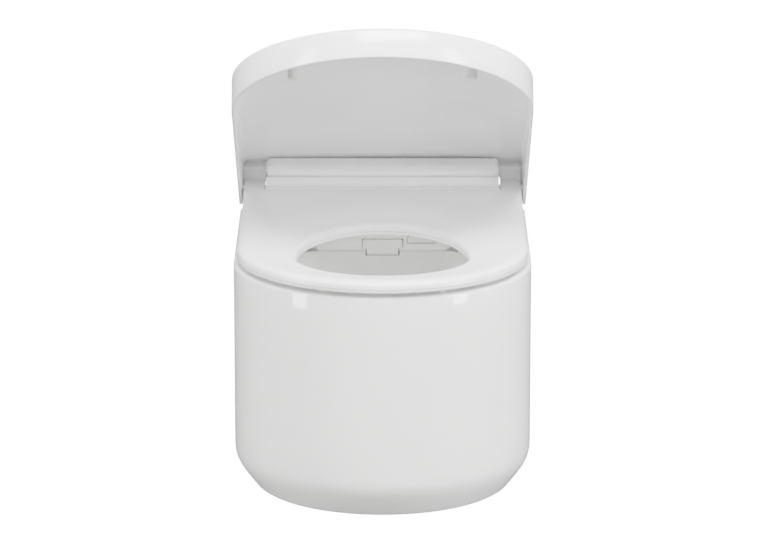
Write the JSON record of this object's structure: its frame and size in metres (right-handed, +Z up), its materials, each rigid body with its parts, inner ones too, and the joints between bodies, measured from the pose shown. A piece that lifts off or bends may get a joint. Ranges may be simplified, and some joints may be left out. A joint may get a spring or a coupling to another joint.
{
  "type": "wall-hung shower toilet with electric bidet seat",
  "caption": "Wall-hung ceramic toilet with a built-in bidet unit, heated seat, powered half-open lid, telescopic spray wand and warm-air dryer.",
  "frame": {"origin": "on the wall plane, midway between the two wall bolts", "axes": "+Z up, +Y into the wall, so the bowl points along -Y; +X to the right of someone facing the bowl"},
  "size_m": [0.3846, 0.592, 0.6137],
  "materials": {
    "glazed_ceramic": "glazed, vitreous china",
    "gloss_white": "polished moulding",
    "seat_white": "satin gloss moulding",
    "fascia_plastic": "fine satin",
    "casing_plastic": "as moulded",
    "motor_plastic": "as moulded",
    "gear_plastic": "as moulded",
    "sleeve_plastic": "as moulded",
    "wand_plastic": "polished moulding",
    "wand_steel": "polished stainless",
    "steel": "turned",
    "heating_foil": "etched foil",
    "seal_rubber": "matte",
    "soft_rubber": "matte, translucent white",
    "inlet_brass": "machined",
    "board_green": "solder resist",
    "filter_black": "open cell"
  },
  "bodies": {
    "base": {"ceramic_bowl": "glazed_ceramic", "wall_bolt_sleeves": "sleeve_plastic", "unit_tray": "casing_plastic", "unit_cover": "gloss_white", "unit_gasket": "seal_rubber", "unit_screws": "steel", "front_fascia": "fascia_plastic", "hinge_cover": "gloss_white", "lid_motor": "motor_plastic", "seat_motor": "motor_plastic", "wand_guide": "motor_plastic", "wand_motor": "motor_plastic", "dryer_duct": "casing_plastic", "dryer_fan_housing": "motor_plastic", "dryer_motor": "steel", "dryer_heater": "heating_foil", "water_tank": "casing_plastic", "tank_heater_coil": "steel", "water_pump": "motor_plastic", "valve_body": "casing_plastic", "valve_spring": "steel", "water_inlet": "inlet_brass", "mains_gland": "gear_plastic", "control_board": "board_green", "power_transformer": "motor_plastic", "odour_filter": "filter_black"},
    "seat": {"seat_upper_shell": "seat_white", "seat_lower_shell": "seat_white", "seat_heating_foil": "heating_foil", "seat_bumpers": "soft_rubber", "seat_drive_shaft": "steel"},
    "lid": {"lid_shell": "gloss_white", "lid_bumpers": "soft_rubber", "lid_drive_shaft": "steel"},
    "wand_outer": {"wand_outer_tube": "wand_plastic"},
    "wand_inner": {"wand_inner_tube": "wand_steel", "wand_front_cap": "fascia_plastic"},
    "pinion": {"wand_pinion": "gear_plastic"},
    "flap": {"dryer_flap": "fascia_plastic"},
    "impeller": {"dryer_impeller": "gear_plastic"},
    "plunger": {"valve_plunger": "steel"}
  },
  "joints": [
    {"name": "seat_hinge", "type": "hinge", "parent": "base", "child": "seat", "pos_m": [0, -0.09, 0.101], "axis": [1, 0, 0], "range_deg": [-85, 0]},
    {"name": "lid_hinge", "type": "hinge", "parent": "seat", "child": "lid", "pos_m": [0, -0.09, 0.101], "axis": [-1, 0, 0], "range_deg": [-34, 61]},
    {"name": "wand_slide", "type": "slide", "parent": "base", "child": "wand_outer", "axis": [0, -0.9962, -0.0872], "range_m": [0, 0.075]},
    {"name": "wand_tip_slide", "type": "slide", "parent": "wand_outer", "child": "wand_inner", "axis": [0, -0.9962, -0.0872], "range_m": [0, 0.0805]},
    {"name": "pinion_spin", "type": "hinge", "parent": "base", "child": "pinion", "pos_m": [0.02114, -0.18962, 0.0557], "axis": [0, -0.0872, 0.9962], "range_deg": [0, 563]},
    {"name": "flap_hinge", "type": "hinge", "parent": "base", "child": "flap", "pos_m": [0.0513, -0.2222, 0.0684], "axis": [-1, 0, 0], "range_deg": [0, 70]},
    {"name": "fan_spin", "type": "hinge", "parent": "base", "child": "impeller", "pos_m": [0.092, -0.128, 0.06], "axis": [0, 0, 1], "continuous": true},
    {"name": "valve_lift", "type": "slide", "parent": "base", "child": "plunger", "axis": [0, 0, 1], "range_m": [0, 0.0025], "stiffness_N_per_m": 200}
  ],
  "couplings": [
    {"joint": "pinion_spin", "follows": "wand_slide", "rad_per_m": 130.9},
    {"joint": "wand_tip_slide", "follows": "wand_slide", "ratio": 1.0667}
  ]
}
